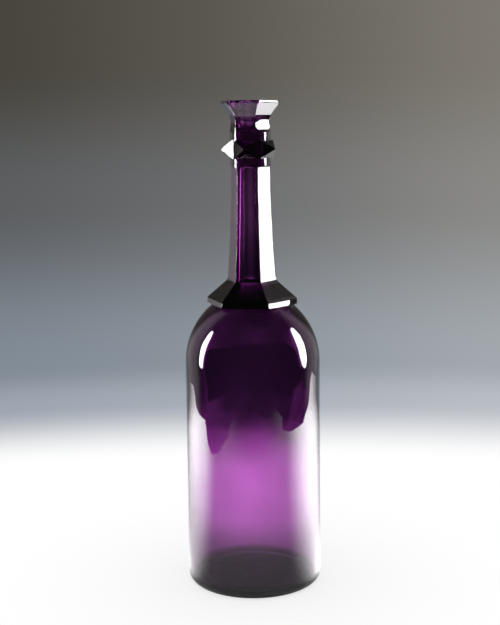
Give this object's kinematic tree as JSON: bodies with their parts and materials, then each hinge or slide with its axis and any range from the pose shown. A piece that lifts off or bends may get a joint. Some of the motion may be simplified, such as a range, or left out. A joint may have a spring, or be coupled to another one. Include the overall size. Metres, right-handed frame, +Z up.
{
  "type": "glass bottle",
  "caption": "Tall purple glass bottle with a cylindrical body, domed shoulder, faceted collar and neck, lozenge-cut neck ring and flared fluted mouth, for holding and pouring liquid.",
  "frame": {"origin": "middle of the base, in the plane that the bottle stands on", "axes": "+Z up along the bottle's axis to the mouth; the picture looks along +Y, with +X to the right"},
  "size_m": [0.084, 0.084, 0.3015],
  "materials": {
    "amethyst_glass": "polished, deep amethyst"
  },
  "bodies": {
    "root": {"body": "amethyst_glass", "collar": "amethyst_glass", "neck": "amethyst_glass", "neck_ring": "amethyst_glass", "mouth": "amethyst_glass"}
  },
  "joints": []
}
